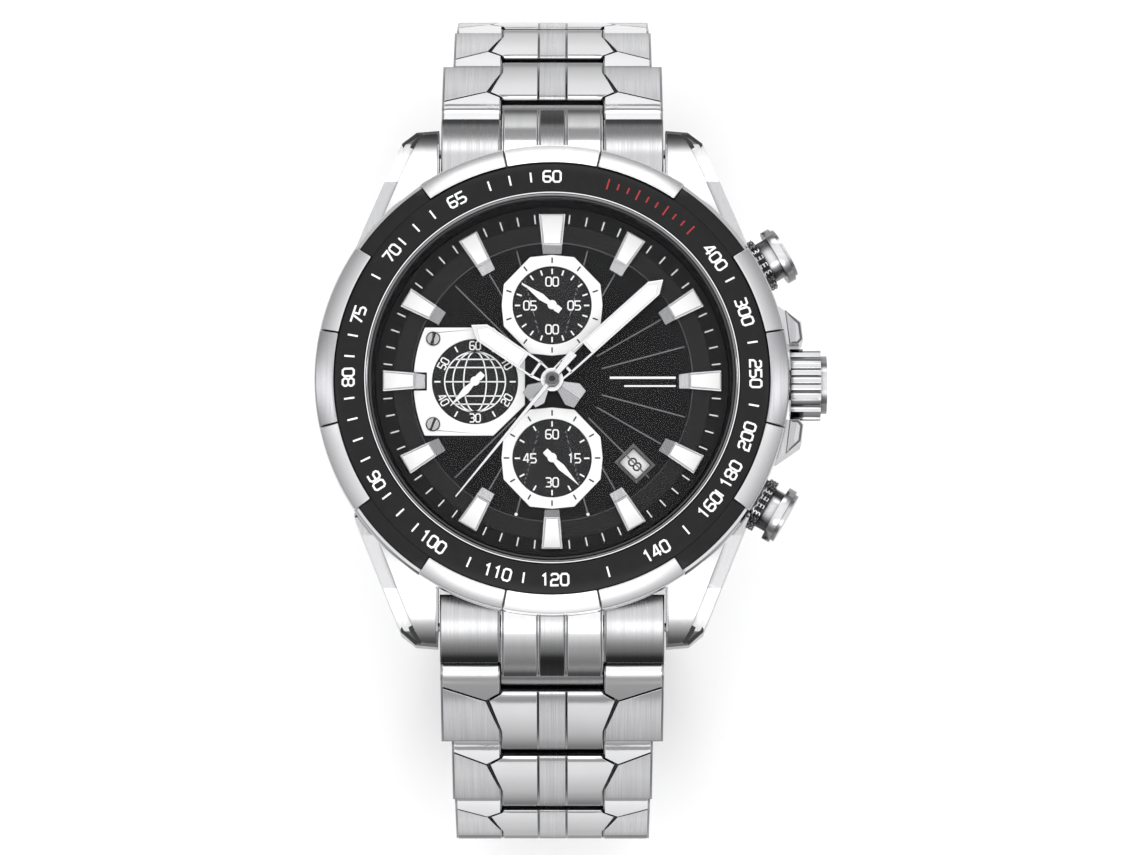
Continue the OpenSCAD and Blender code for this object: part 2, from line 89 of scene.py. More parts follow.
def toned(tree, colour, source, low, high, stops):
    """The colour multiplied by a tone that follows a value between low and high."""
    join = tree.links.new
    place = tree.nodes.new("ShaderNodeMapRange")
    place.inputs["From Min"].default_value = low
    place.inputs["From Max"].default_value = high
    ramp = tree.nodes.new("ShaderNodeValToRGB")
    elements = ramp.color_ramp.elements
    while len(elements) < len(stops):
        elements.new(0.5)
    for element, (at, tone) in zip(elements, stops):
        element.position = (at - stops[0][0]) / (stops[-1][0] - stops[0][0])
        element.color = (tone, tone, tone, 1)
    mix = tree.nodes.new("ShaderNodeMix")
    mix.data_type = "RGBA"
    mix.blend_type = "MULTIPLY"
    mix.inputs["Factor"].default_value = 1.0
    join(source, place.inputs["Value"])
    join(place.outputs["Result"], ramp.inputs["Fac"])
    join(colour, mix.inputs[MIX_A])
    join(ramp.outputs["Color"], mix.inputs[MIX_B])
    return mix.outputs[MIX_RESULT]


def axis_of(tree, node_type, output, axis):
    """One axis of a vector that a node of this type gives."""
    source = tree.nodes.new(node_type)
    split = tree.nodes.new("ShaderNodeSeparateXYZ")
    tree.links.new(source.outputs[output], split.inputs[0])
    return split.outputs[axis]


def painted_shading(mat, tilt=None, fade=None, crease=0.0, reach=LUG_REACH, along=None, flip=1):
    """Steel with painted shade and painted reflection in its colour: darker where it faces away from above, near
    ends and along a piece, and painted shade in creases.
    """
    tree = mat.node_tree
    shader = tree.nodes["Principled BSDF"]
    colour = shader.inputs["Base Color"].links[0].from_socket
    # tilt: painted shade and painted reflection by how far the normal turns from straight up
    if tilt:
        height = axis_of(tree, "ShaderNodeNewGeometry", "Normal", "Z")
        colour = toned(tree, colour, height, -1.0, 1.0, tilt)
    # fade: painted reflection that changes with the distance from the middle of the watch along Y
    if fade:
        size = tree.nodes.new("ShaderNodeMath")
        size.operation = "ABSOLUTE"
        tree.links.new(axis_of(tree, "ShaderNodeTexCoord", "Object", "Y"), size.inputs[0])
        colour = toned(tree, colour, size.outputs[0], 0.0, reach, fade)
    # along: painted shade down the length of a piece
    if along:
        near, far = (0.0, 1.0) if flip > 0 else (1.0, 0.0)
        share = axis_of(tree, "ShaderNodeTexCoord", "Generated", "Y")
        colour = toned(tree, colour, share, near, far, along)
    # crease: painted shade in creases, from ambient occlusion
    if crease:
        hollow = tree.nodes.new("ShaderNodeAmbientOcclusion")
        hollow.inputs["Distance"].default_value = crease * MM
        hollow.samples = 6
        colour = toned(tree, colour, hollow.outputs["AO"], 0.0, 1.0, CREASE_TONES)
    tree.links.new(colour, shader.inputs["Base Color"])
    return mat


def finish_of(name, base, second, rough, metallic=0.0, grain=(900, 900, 900), bump=0.05,
              spread=0.08, coat=0.0, specular=0.5, detail=4.0):
    """A material whose colour, roughness and surface follow one stretched noise."""
    mat = bpy.data.materials.new(name)
    mat.use_nodes = True
    tree = mat.node_tree
    shader = tree.nodes["Principled BSDF"]
    shader.inputs["Metallic"].default_value = metallic
    shader.inputs["Coat Weight"].default_value = coat
    shader.inputs["Coat Roughness"].default_value = 0.05
    shader.inputs["Specular IOR Level"].default_value = specular
    place = tree.nodes.new("ShaderNodeTexCoord")
    stretch = tree.nodes.new("ShaderNodeMapping")
    stretch.inputs["Scale"].default_value = grain
    noise = tree.nodes.new("ShaderNodeTexNoise")
    noise.inputs["Scale"].default_value = 1.0
    noise.inputs["Detail"].default_value = detail
    tint = tree.nodes.new("ShaderNodeMix")
    tint.data_type = "RGBA"
    tint.inputs[MIX_A].default_value = (*base, 1)
    tint.inputs[MIX_B].default_value = (*second, 1)
    gloss = tree.nodes.new("ShaderNodeMapRange")
    gloss.inputs["To Min"].default_value = max(rough - spread, 0.02)
    gloss.inputs["To Max"].default_value = rough + spread
    relief = tree.nodes.new("ShaderNodeBump")
    relief.inputs["Strength"].default_value = bump
    relief.inputs["Distance"].default_value = 0.00004
    join = tree.links.new
    join(place.outputs["Object"], stretch.inputs["Vector"])
    join(stretch.outputs["Vector"], noise.inputs["Vector"])
    join(noise.outputs["Fac"], tint.inputs["Factor"])
    join(tint.outputs[MIX_RESULT], shader.inputs["Base Color"])
    join(noise.outputs["Fac"], gloss.inputs["Value"])
    join(gloss.outputs["Result"], shader.inputs["Roughness"])
    join(noise.outputs["Fac"], relief.inputs["Height"])
    join(relief.outputs["Normal"], shader.inputs["Normal"])
    return mat


def glass_of(name):
    """Clear sapphire with a non-reflecting coating."""
    mat = finish_of(name, (0, 0, 0), (0.002, 0.002, 0.004), 0.03, spread=0.01, bump=0.0)
    shader = mat.node_tree.nodes["Principled BSDF"]
    shader.inputs["Alpha"].default_value = 0.05
    shader.inputs["IOR"].default_value = 1.6
    return mat


# These steels take painted shade and painted reflection into their colour: by the tilt of the normal, by a fade
# along the lugs and case, and in creases.
BRUSHED = painted_shading(finish_of("steel_brushed", (0.66, 0.66, 0.67), (0.4, 0.4, 0.41), 0.28, 1.0,
                              (7000, 90, 90), 0.25), BRUSHED_TILT, None, 0.5)
CASE_BRUSHED = painted_shading(finish_of("steel_case", (0.5, 0.5, 0.505), (0.4, 0.4, 0.405), 0.2, 1.0,
                                   (3500, 120, 3500), 0.08), STEEL_TILT, CASE_FADE, 0.5)
POLISHED = painted_shading(finish_of("steel_polished", (0.78, 0.78, 0.79), (0.7, 0.7, 0.71), 0.1, 1.0,
                               (260, 260, 260), 0.02, 0.03), STEEL_TILT, None, 0.4)
LUG_POLISHED = painted_shading(finish_of("steel_lug", (0.8, 0.8, 0.8), (0.72, 0.72, 0.725), 0.14, 1.0,
                                   (1800, 90, 90), 0.03, 0.04), None, LUG_FADE, 0.3)
CROWN_STEEL = painted_shading(finish_of("steel_crown", (0.66, 0.66, 0.67), (0.5, 0.5, 0.51), 0.2, 1.0,
                                  (120, 2500, 2500), 0.05), CROWN_TILT, None, 0.6)
# Row plates darken towards one end of each row: painted shade, flipped for the two sides of the bracelet, with
# painted shade in creases.
ROW_POLISHED = {flip: painted_shading(finish_of("row_polished_%+d" % flip, (0.68, 0.68, 0.685),
                                          (0.6, 0.6, 0.605), 0.12, 1.0, (260, 260, 260), 0.02,
                                          0.03), None, None, 0.4, along=ROW_FADE, flip=flip)
                for flip in (1, -1)}
ROW_BRUSHED = {flip: painted_shading(finish_of("row_brushed_%+d" % flip, (0.54, 0.54, 0.545),
                                         (0.34, 0.34, 0.345), 0.28, 1.0, (7000, 90, 90), 0.25),
                               None, None, 0.5, along=SIDE_FADE, flip=flip)
               for flip in (1, -1)}
# End link steels fade dark towards their far ends: painted shade, with painted shade in creases.
END_BRUSHED = painted_shading(finish_of("end_brushed", (0.54, 0.54, 0.545), (0.34, 0.34, 0.345), 0.28,
                                  1.0, (7000, 90, 90), 0.25), None, END_FADE, 0.5, END_REACH)
END_POLISHED = painted_shading(finish_of("end_polished", (0.7, 0.7, 0.705), (0.6, 0.6, 0.605), 0.14,
                                   1.0, (1800, 90, 90), 0.03, 0.04), None, END_FADE, 0.4,
                         MIDDLE_REACH)
# The CAD links show between and under the row plates; their darker steel is painted shade there.
LINK_STEEL = painted_shading(finish_of("steel_link", (0.27, 0.27, 0.275), (0.19, 0.19, 0.193), 0.3, 1.0,
                                 (7000, 90, 90), 0.15), None, None, 0.5)
# Dark edge strips: painted shade round the crown guard facets.
EDGE_SHADE_STEEL = finish_of("steel_painted_edge_shade", (0.07, 0.07, 0.072), (0.12, 0.12, 0.123), 0.3, 0.8,
                       (700, 700, 700), 0.03)
# Three tones of one steel for facets that face the light differently: a painted highlight, painted light and
# painted shade.
FACET_PAINTED_HIGHLIGHT = finish_of("facet_painted_highlight", (0.95, 0.95, 0.95), (0.88, 0.88, 0.88), 0.26, 1.0,
                        (500, 500, 500), 0.03, 0.04)
FACET_PAINTED_LIT = painted_shading(finish_of("facet_painted_lit", (0.58, 0.58, 0.585), (0.5, 0.5, 0.505), 0.26,
                                  1.0, (160, 160, 160), 0.03, 0.04), None, None, 0.3)
FACET_PAINTED_SHADE = painted_shading(finish_of("facet_painted_shade", (0.4, 0.4, 0.41), (0.33, 0.33, 0.34), 0.24, 1.0,
                                 (4000, 120, 120), 0.04, 0.04), None, None, 0.3)
FRAME_STEEL = painted_shading(finish_of("marker_steel", (0.5, 0.5, 0.51), (0.36, 0.36, 0.37), 0.2, 1.0,
                                  (700, 700, 700), 0.03, 0.04), None, None, 0.25)
BLACK_GLOSS = finish_of("insert_black", (0.006, 0.006, 0.0065), (0.012, 0.012, 0.0125), 0.24,
                        bump=0.02, specular=0.16)
DIAL_BLACK = finish_of("dial_black", (0.004, 0.004, 0.0045), (0.01, 0.01, 0.0105), 0.38,
                       grain=(1500, 1500, 1500), bump=0.1, specular=0.1)
BAND_BLACK = finish_of("band_black", (0.012, 0.012, 0.0125), (0.024, 0.024, 0.025), 0.34,
                       grain=(3000, 3000, 3000), bump=0.2, specular=0.15)
COUNTER_BLACK = finish_of("counter_black", (0.018, 0.018, 0.019), (0.03, 0.03, 0.031), 0.32, 0.9,
                          (700, 700, 700), 0.02)
WHITE = finish_of("white_lacquer", (0.95, 0.95, 0.94), (0.9, 0.9, 0.89), 0.35,
                  grain=(2000, 2000, 2000), bump=0.04)
LUME = finish_of("lume_white", (0.97, 0.97, 0.96), (0.92, 0.92, 0.91), 0.55,
                 grain=(6000, 6000, 6000), bump=0.2)
PRINT_WHITE = finish_of("print_white", (0.95, 0.95, 0.94), (0.86, 0.86, 0.85), 0.5,
                        grain=(5000, 5000, 5000), bump=0.1)
PRINT_BLACK = finish_of("print_black", (0.01, 0.01, 0.01), (0.03, 0.03, 0.03), 0.5)
PRINT_RED = finish_of("print_red", (0.4, 0.008, 0.01), (0.25, 0.005, 0.006), 0.5)
GROOVE = finish_of("groove_line", (0.2, 0.2, 0.21), (0.1, 0.1, 0.1), 0.3, 0.9)
# A dark colour of painted shade for screw slots, lug grooves and the bore of the chrono hub.
PAINTED_GAP_SHADE = finish_of("painted_gap_shade", (0.015, 0.015, 0.016), (0.03, 0.03, 0.03), 0.5, 0.5)
RUBBER = finish_of("seal_rubber", (0.02, 0.02, 0.02), (0.04, 0.04, 0.04), 0.7, bump=0.3)
BRASS = finish_of("movement_brass", (0.78, 0.6, 0.3), (0.65, 0.48, 0.22), 0.3, 1.0)
PLASTIC = finish_of("holder_plastic", (0.8, 0.8, 0.78), (0.7, 0.7, 0.68), 0.6, bump=0.2)
INNER = finish_of("inner_steel", (0.5, 0.5, 0.52), (0.36, 0.36, 0.38), 0.3, 1.0)
COPPER = finish_of("coil_copper", (0.72, 0.35, 0.16), (0.5, 0.22, 0.08), 0.35, 1.0,
                   (9000, 60, 60), 0.6)
SAPPHIRE = glass_of("sapphire")

SLOT_LOOKS = {
    "case_steel": CASE_BRUSHED, "polished_steel": POLISHED, "bracelet_steel": BRUSHED,
    "black_insert": BLACK_GLOSS, "crystal": SAPPHIRE, "seal": RUBBER, "dial_black": DIAL_BLACK,
    "marker_lume": LUME, "white_lacquer": WHITE, "hand_steel": POLISHED,
    "movement_brass": BRASS, "holder_plastic": PLASTIC, "inner_steel": INNER, "copper": COPPER,
}


# ------------------------------------------------------------------ shape building
class Shape:
    """Closed solids in millimetres, gathered into one mesh."""

    def __init__(self):
        self.verts = []
        self.faces = []

    def prism(self, outline, z0, z1):
        first = len(self.verts)
        count = len(outline)
        self.verts += [(x, y, z0) for x, y in outline] + [(x, y, z1) for x, y in outline]
        self.faces.append(tuple(first + i for i in reversed(range(count))))
        self.faces.append(tuple(first + count + i for i in range(count)))
        for i in range(count):
            after = (i + 1) % count
            self.faces.append((first + i, first + after, first + count + after,
                               first + count + i))
        return self

    def lathe(self, profile, start=0.0, turn=360.0, steps=180):
        """Turns a closed outline of (radius, height) about Z, counter-clockwise from +X."""
        first = len(self.verts)
        count = len(profile)
        whole = turn >= 360.0
        rings = steps if whole else steps + 1
        for k in range(rings):
            a = math.radians(start + turn * k / steps)
            self.verts += [(r * math.cos(a), r * math.sin(a), z) for r, z in profile]
        for k in range(steps):
            here = first + k * count
            there = first + ((k + 1) % rings) * count
            for i in range(count):
                after = (i + 1) % count
                self.faces.append((here + i, there + i, there + after, here + after))
        if not whole:
            self.faces.append(tuple(first + i for i in range(count)))
            last = first + steps * count
            self.faces.append(tuple(last + i for i in reversed(range(count))))
        return self

    def strip(self, points, width, z0, z1, closed=False):
        """A flat ribbon along a line, with mitred corners."""
        pts = [Vector(p) for p in points]
        count = len(pts)
        left, right = [], []
        for i, p in enumerate(pts):
            before = pts[i - 1] if (i or closed) else None
            after = pts[(i + 1) % count] if (i < count - 1 or closed) else None
            d0 = (p - before).normalized() if before is not None else None
            d1 = (after - p).normalized() if after is not None else None
            d0 = d0 if d0 is not None else d1
            d1 = d1 if d1 is not None else d0
            along = (d0 + d1).normalized()
            side = Vector((-along.y, along.x))
            reach = width / 2 / max(side.dot(Vector((-d0.y, d0.x))), 0.5)
            left.append(p + side * reach)
            right.append(p - side * reach)
        first = len(self.verts)
        for z in (z0, z1):
            self.verts += [(v.x, v.y, z) for v in left] + [(v.x, v.y, z) for v in right]
        top = first + 2 * count
        spans = count if closed else count - 1
        for i in range(spans):
            j = (i + 1) % count
            self.faces.append((top + i, top + count + i, top + count + j, top + j))
            self.faces.append((first + i, first + j, first + count + j, first + count + i))
            self.faces.append((first + i, top + i, top + j, first + j))
            self.faces.append((first + count + i, first + count + j, top + count + j,
                               top + count + i))
        if not closed:
            for i in (0, count - 1):
                self.faces.append((first + i, first + count + i, top + count + i, top + i))
        return self

    def add(self, other, matrix=None):
        first = len(self.verts)
        matrix = matrix or Matrix()
        self.verts += [tuple(matrix @ Vector(v)) for v in other.verts]
        self.faces += [tuple(first + i for i in f) for f in other.faces]
        return self

    def warp(self, rule):
        self.verts = [rule(*v) for v in self.verts]
        return self


def clock(angle, x=0.0, y=0.0):
    """Turn to an angle clockwise from 12, after a move to (x, y)."""
    return Matrix.Translation((x, y, 0)) @ Matrix.Rotation(-math.radians(angle), 4, "Z")


def disc_points(radius, steps=48, x=0.0, y=0.0):
    return [(x + radius * math.cos(2 * math.pi * k / steps),
             y + radius * math.sin(2 * math.pi * k / steps)) for k in range(steps)]


def build(name, shape, mat, body, replaces=(), bevel=0.0, smooth=0.0, low=None):
    """Makes one piece from a shape in millimetres, whose z counts from low, or else the head."""
    lift = HEAD_Z if low is None else low
    mesh = bpy.data.meshes.new(name)
    mesh.from_pydata([(x * MM, y * MM, (z + lift) * MM) for x, y, z in shape.verts], [],
                     shape.faces)
    bm = bmesh.new()
    bm.from_mesh(mesh)
    bmesh.ops.recalc_face_normals(bm, faces=bm.faces)
    bm.to_mesh(mesh)
    bm.free()
    mesh.materials.append(mat)
    piece = bpy.data.objects.new(name, mesh)
    bpy.context.scene.collection.objects.link(piece)
    if smooth:
        mesh.shade_smooth()
        mesh.set_sharp_from_angle(angle=math.radians(smooth))
    if bevel:
        soften(piece, bevel)
    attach(piece, body)
    if replaces:
        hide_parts(*replaces)
    return piece


def soften(piece, width, segments=2):
    edge = piece.modifiers.new("edge", "BEVEL")
    edge.width = width * MM
    edge.segments = segments
    edge.limit_method = "ANGLE"
    edge.angle_limit = math.radians(32)
    edge.harden_normals = False


# ------------------------------------------------------------------ digits
CUT = 0.22
TALL = 1.35
HALF = TALL / 2
DIGITS = {
    "0": [([(CUT, 0), (1 - CUT, 0), (1, CUT), (1, TALL - CUT), (1 - CUT, TALL), (CUT, TALL),
            (0, TALL - CUT), (0, CUT)], True)],
    "1": [([(0.2, TALL - 0.25), (0.55, TALL), (0.55, 0)], False)],
    "2": [([(0, TALL - CUT), (CUT, TALL), (1 - CUT, TALL), (1, TALL - CUT), (1, HALF + CUT),
            (1 - CUT, HALF), (CUT, HALF), (0, HALF - CUT), (0, 0), (1, 0)], False)],
    "3": [([(0, TALL), (1 - CUT, TALL), (1, TALL - CUT), (1, HALF + CUT), (1 - CUT, HALF),
            (1, HALF - CUT), (1, CUT), (1 - CUT, 0), (0, 0)], False),
          ([(1 - CUT, HALF), (0.3, HALF)], False)],
    "4": [([(0.75, 0), (0.75, TALL), (0.6, TALL), (0, 0.4), (1.05, 0.4)], False)],
    "5": [([(1, TALL), (0, TALL), (0, HALF), (1 - CUT, HALF), (1, HALF - CUT), (1, CUT),
            (1 - CUT, 0), (0, 0)], False)],
    "6": [([(1, TALL), (CUT, TALL), (0, TALL - CUT), (0, CUT), (CUT, 0), (1 - CUT, 0),
            (1, CUT), (1, HALF - CUT), (1 - CUT, HALF), (0, HALF)], False)],
    "7": [([(0, TALL), (1, TALL), (0.4, 0)], False)],
    "8": [([(CUT, HALF), (1 - CUT, HALF), (1, HALF + CUT), (1, TALL - CUT), (1 - CUT, TALL),
            (CUT, TALL), (0, TALL - CUT), (0, HALF + CUT)], True),
          ([(CUT, HALF), (1 - CUT, HALF), (1, HALF - CUT), (1, CUT), (1 - CUT, 0), (CUT, 0),
            (0, CUT), (0, HALF - CUT)], True)],
    "9": [([(0, 0), (1 - CUT, 0), (1, CUT), (1, TALL - CUT), (1 - CUT, TALL), (CUT, TALL),
            (0, TALL - CUT), (0, HALF + CUT), (CUT, HALF), (1, HALF)], False)],
}


def number(text, height, digit_w, stroke, thick, gap=0.32):
    """A number centred on the origin, drawn as flat strokes."""
    made = Shape()
    step = digit_w * (1 + gap)
    start = -(step * (len(text) - 1) + digit_w) / 2
    for k, char in enumerate(text):
        for points, closed in DIGITS[char]:
            moved = [(start + step * k + x * digit_w, (y / TALL - 0.5) * height)
                     for x, y in points]
            made.strip(moved, stroke, 0, thick, closed)
    return made


# ------------------------------------------------------------------ camera, floor and light
IMAGE_W = 1140
SENSOR = 36.0
SCALE = 10.35                            # parts of IMAGE_W that one millimetre takes
DISTANCE = 650.0
AIM_RIGHT, AIM_DOWN = 1.74, 4.91
TILT = 82.0
WORLD_STRENGTH = 1.5


def aim(thing, where, target):
    thing.location = where
    thing.rotation_euler = (Vector(target) - Vector(where)).to_track_quat("-Z", "Y").to_euler()


def make_camera():
    data = bpy.data.cameras.new("camera")
    data.sensor_width = SENSOR
    data.lens = SCALE * SENSOR / IMAGE_W * DISTANCE
    data.clip_start = 0.01
    data.clip_end = 20
    camera = bpy.data.objects.new("camera", data)
    bpy.context.scene.collection.objects.link(camera)
    tilt = math.radians(TILT)
    up = Vector((0, math.sin(tilt), math.cos(tilt)))
    back = Vector((0, -math.cos(tilt), math.sin(tilt)))
    target = Vector((AIM_RIGHT, 0, HEAD_Z)) - up * AIM_DOWN
    aim(camera, (target + back * DISTANCE) * MM, target * MM)
    bpy.context.scene.camera = camera


def softbox(name, where, size, power, shape_y=None):
    data = bpy.data.lights.new(name, "AREA")
    data.shape = "RECTANGLE"
    data.size = size
    data.size_y = shape_y or size
    data.energy = power
    lamp = bpy.data.objects.new(name, data)
    bpy.context.scene.collection.objects.link(lamp)
    aim(lamp, where, (0, 0, 0.05))


def make_stage():
    mesh = bpy.data.meshes.new("floor")
    half = 3.0
    mesh.from_pydata([(-half, -half, 0), (half, -half, 0), (half, half, 0), (-half, half, 0)], [],
                     [(0, 1, 2, 3)])
    mesh.materials.append(finish_of("floor_white", (0.96, 0.96, 0.96), (0.94, 0.94, 0.94), 0.8,
                                    grain=(20, 20, 20), bump=0.0))
    floor = bpy.data.objects.new("floor", mesh)
    bpy.context.scene.collection.objects.link(floor)
    bpy.context.scene.world = studio_world()
    softbox("light_far", (0.0, 0.75, 0.5), 0.8, 1.4, 0.3)
    softbox("light_near", (0.0, -0.6, 0.8), 0.9, 1.6, 0.35)
    softbox("light_left", (-0.8, 0.1, 0.5), 0.12, 0.5, 0.6)
    softbox("light_right", (0.8, 0.1, 0.5), 0.12, 0.5, 0.6)
    bpy.context.scene.view_settings.view_transform = "Standard"


def studio_world():
    """A soft tent of light: bright overhead, grey lower down."""
    world = bpy.data.worlds.new("studio")
    world.use_nodes = True
    tree = world.node_tree
    place = tree.nodes.new("ShaderNodeTexCoord")
    split = tree.nodes.new("ShaderNodeSeparateXYZ")
    ramp = tree.nodes.new("ShaderNodeValToRGB")
    tones = [(0.0, 0.4), (0.04, 0.3), (0.34, 0.38), (0.5, 0.6), (0.7, 0.9), (1.0, 1.0)]
    stops = ramp.color_ramp.elements
    while len(stops) < len(tones):
        stops.new(0.5)
    for stop, (height, tone) in zip(stops, tones):
        stop.position = height
        stop.color = (tone, tone, tone * 1.01, 1)
    join = tree.links.new
    join(place.outputs["Generated"], split.inputs[0])
    join(split.outputs["Z"], ramp.inputs["Fac"])
    back = tree.nodes["Background"]
    join(ramp.outputs["Color"], back.inputs["Color"])
    back.inputs["Strength"].default_value = WORLD_STRENGTH
    return world


make_camera()
make_stage()


# ------------------------------------------------------------------ CAD nodes that stay
def dress_cad_nodes():
    slot_of = {row["node"]: row["material_slot"] for row in frame["record"]["subparts"]}
    looks = {"plate_screws": FRAME_STEEL, "crown": CROWN_STEEL, "upper_pusher": CROWN_STEEL,
             "lower_pusher": CROWN_STEEL, "pusher_collars": CROWN_STEEL,
             "end_link_12": LINK_STEEL, "end_link_6": LINK_STEEL}
    for name in nodes:
        if name.startswith("link_"):
            looks[name] = LINK_STEEL
    bevels = {"mid_case": 0.3, "crown": 0.12, "end_link_12": 0.15, "end_link_6": 0.15,
              "clasp_cover": 0.2, "upper_pusher": 0.12, "lower_pusher": 0.12,
              "bezel_insert": 0.05, "case_back": 0.15, "upper_counter_ring": 0.05,
              "lower_counter_ring": 0.05, "small_seconds_plate": 0.05, "plate_screws": 0.04,
              "clasp_inner_blade": 0.1, "clasp_middle_blade": 0.1, "date_window_frame": 0.05}
    for name, node in nodes.items():
        look = looks.get(name) or SLOT_LOOKS[slot_of[name]]
        node.data.materials.clear()
        node.data.materials.append(look)
        width = 0.15 if name.startswith("link_") else bevels.get(name)
        if width:
            weld = node.modifiers.new("weld", "WELD")
            weld.merge_threshold = 1e-6
            soften(node, width)


dress_cad_nodes()


# ------------------------------------------------------------------ bezel
def make_bezel():
    base = Shape().lathe([(17.7, -3.2), (17.7, -0.3), (17.78, -0.2), (17.95, -0.06),
                          (18.0, -0.1), (18.05, -0.02), (18.14, 0.0), (18.16, -0.06),
                          (18.16, -1.6), (22.52, -1.6),
                          (22.54, -1.15), (22.8, -1.3), (BEZEL_R, -1.8), (BEZEL_R, -2.9),
                          (22.7, -3.2)])
    build("bezel_body", base, POLISHED, "case", ("bezel",), smooth=30)
    # The claw facets share one profile and one steel; their tones are painted: a painted highlight on the middles
    # at 12 and 6, painted shade on the middles at 3 and 9, painted light on the side facets.
    light, grey, white = Shape(), Shape(), Shape()
    facet = [(21.1, -1.62), (21.1, -0.5), (21.22, -0.36), (22.8, -0.98), (BEZEL_R, -1.2),
             (BEZEL_R, -2.3), (22.3, -2.3)]
    split, half, reach = 0.16, 12, 34    # degrees
    for quarter in range(4):
        middle = 90 * quarter
        target = grey if quarter % 2 == 0 else white
        target.lathe(facet, middle - half + split, 2 * half - 2 * split, 2 * half)
        for start in (half + split, -reach):
            light.lathe(facet, middle + start, reach - half - split, reach - half)
    for word, shape, look in (("light", light, FACET_PAINTED_LIT), ("grey", grey, FACET_PAINTED_SHADE),
                              ("white", white, FACET_PAINTED_HIGHLIGHT)):
        build("bezel_claws_" + word, shape, look, "case", ("bezel",), 0.09, 30)


INSERT_TOP, INSERT_SLOPE, INSERT_IN = -0.075, -0.203, 18.4
TACHY_R = 19.7


def on_insert(x, y, z):
    radius = math.hypot(x, y)
    return (x, y, z + INSERT_TOP + INSERT_SLOPE * (radius - INSERT_IN))


def make_insert_print():
    numbers = {0: "60", 53.4: "400", 71: "300", 89: "250", 107: "200", 118.8: "180",
               129.4: "160", 149.3: "140", 179.2: "120", 195.5: "110", 215.6: "100",
               239.2: "90", 270: "80", 288: "75", 308: "70", 332: "65"}
    ticks = [61, 80, 98, 125, 139, 164, 188, 204, 222, 228, 234, 246, 252, 258, 264, 276, 282,
             300, 312.5, 318, 324, 342, 348, 354]
    white = Shape()
    for angle, text in numbers.items():
        upside = 100 < angle < 260
        digits = number(text, 1.08, 0.72, 0.19, 0.03)
        turn = Matrix.Rotation(math.pi, 4, "Z") if upside else Matrix()
        white.add(digits, clock(angle) @ Matrix.Translation((0, TACHY_R, 0)) @ turn)
    for angle in ticks:
        mark = Shape().strip([(0, TACHY_R - 0.5), (0, TACHY_R + 0.5)], 0.17, 0, 0.03)
        white.add(mark, clock(angle))
    build("bezel_numbers", white.warp(on_insert), PRINT_WHITE, "case")
    red = Shape()
    for k in range(10):
        reach = 0.55 if k % 3 == 0 else 0.32
        mark = Shape().strip([(0, TACHY_R - reach), (0, TACHY_R + reach)], 0.16, 0, 0.03)
        red.add(mark, clock(16 + 3 * k))
    build("bezel_red_scale", red.warp(on_insert), PRINT_RED, "case")


# ------------------------------------------------------------------ dial
def make_dial():
    ridge = [(13.7, DIAL_Z - 0.01), (BAND_IN, DIAL_Z + 0.1)]
    rows = 9
    pitch = 1.6 / rows
    for k in range(rows):
        start = BAND_IN + pitch * k
        ridge += [(start + pitch * 0.45, DIAL_Z + 0.1), (start + pitch * 0.5, DIAL_Z + 0.06),
                  (start + pitch * 0.95, DIAL_Z + 0.06), (start + pitch, DIAL_Z + 0.1)]
    ridge += [(BAND_OUT, DIAL_Z + 0.1), (BAND_OUT, DIAL_Z - 0.01)]
    build("dial_band", Shape().lathe(ridge), BAND_BLACK, "case", smooth=20)
    chapter = Shape().lathe([(BAND_OUT, DIAL_Z - 0.01), (BAND_OUT, DIAL_Z + 0.16),
                             (17.08, DIAL_Z + 0.42), (17.08, DIAL_Z - 0.01)])
    build("dial_chapter_ring", chapter, DIAL_BLACK, "case", smooth=20)
    rule = Shape().lathe([(13.62, DIAL_Z), (13.62, DIAL_Z + 0.05), (13.7, DIAL_Z + 0.11),
                          (13.76, DIAL_Z + 0.05), (13.76, DIAL_Z)])
    build("dial_step_rule", rule, GROOVE, "case", smooth=20)
    grooves = Shape()
    for k in range(24):
        angle = 15 * k
        if angle in (0, 180, 240, 255, 270, 285, 300, 90):
            continue
        outer = 12.2 if angle % 30 == 0 else 13.3
        line = Shape().strip([(0, 5.0), (0, outer)], 0.14, DIAL_Z, DIAL_Z + 0.035)
        grooves.add(line, clock(angle))
    build("dial_groove_lines", grooves, GROOVE, "case", bevel=0.02)
    slope = 0.26 / 1.68

    def on_chapter(x, y, z):
        return (x, y, z + DIAL_Z + 0.16 + slope * (math.hypot(x, y) - BAND_OUT))

    ticks = Shape()
    for k in range(60):
        if k % 5 == 0:
            continue
        ticks.add(Shape().strip([(0, 15.6), (0, 16.45)], 0.12, 0, 0.03), clock(6 * k))
    build("dial_minute_track", ticks.warp(on_chapter), PRINT_WHITE, "case")
    mark = Shape().prism([(5.6, 0.28), (12.0, 0.28), (12.0, 0.5), (5.6, 0.5)], DIAL_Z,
                         DIAL_Z + 0.08)
    mark.prism([(7.0, -0.5), (12.0, -0.5), (12.0, -0.34), (7.0, -0.34)], DIAL_Z, DIAL_Z + 0.08)
    build("dial_bar_mark", mark, PRINT_WHITE, "case")
    dots = Shape()
    for angle in (165, 195):
        dots.add(Shape().prism(disc_points(0.16, 16, 0, 13.45), DIAL_Z, DIAL_Z + 0.12),
                 clock(angle))
    build("dial_dots", dots, POLISHED, "case")


